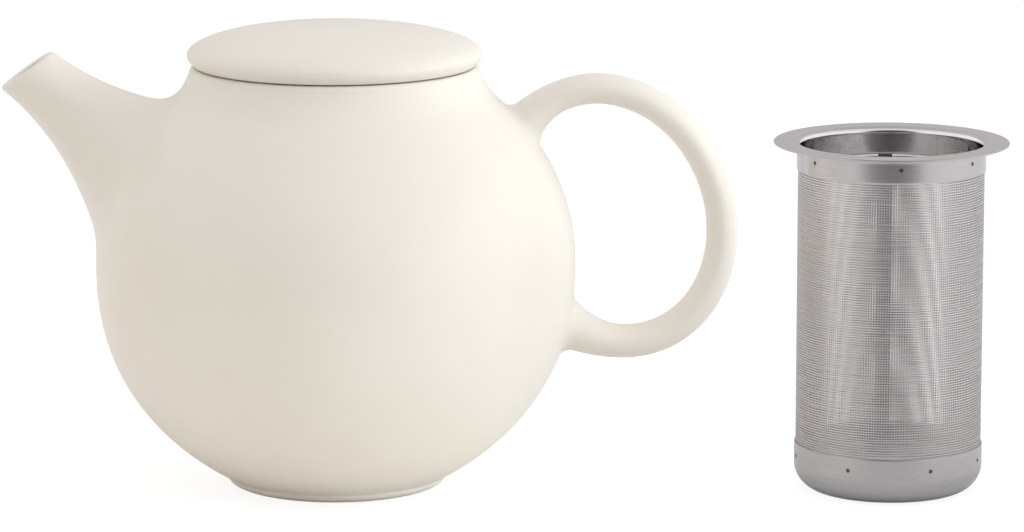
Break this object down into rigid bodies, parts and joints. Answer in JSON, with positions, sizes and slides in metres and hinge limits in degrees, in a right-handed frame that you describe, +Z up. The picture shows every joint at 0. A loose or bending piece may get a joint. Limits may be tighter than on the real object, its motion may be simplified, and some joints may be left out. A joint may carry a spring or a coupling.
{
  "type": "teapot with infuser",
  "caption": "Round ceramic teapot with a short spout, ring handle and flat pebble lid, and a lift-out cylindrical perforated steel infuser with a wide flange.",
  "frame": {"origin": "centre of the pot's foot, on the surface that the pot and the infuser stand on", "axes": "+Z up along the pot's axis, +X from the spout to the handle and on to the infuser, +Y away from the viewer"},
  "size_m": [0.2401, 0.1148, 0.111],
  "materials": {
    "cream_glaze": "matt cream glaze, smooth, unglazed foot ring",
    "drawn_steel": "satin, fine circular polishing lines",
    "perforated_steel": "satin sheet with a square grid of fine holes",
    "weld": "dark pressed spot weld"
  },
  "bodies": {
    "pot": {"pot_body": "cream_glaze", "spout": "cream_glaze", "handle": "cream_glaze"},
    "lid": {"lid": "cream_glaze"},
    "infuser": {"infuser_collar": "drawn_steel", "infuser_sleeve": "perforated_steel", "infuser_cup": "drawn_steel", "collar_spot_welds": "weld", "cup_spot_welds": "weld", "seam_spot_welds": "weld"}
  },
  "joints": [
    {"name": "lid_lift", "type": "slide", "parent": "pot", "child": "lid", "axis": [0, 0, 1], "range_m": [0, 0.1]},
    {"name": "infuser_lift", "type": "slide", "parent": "pot", "child": "infuser", "axis": [0, 0, 1], "range_m": [0, 0.12]}
  ]
}
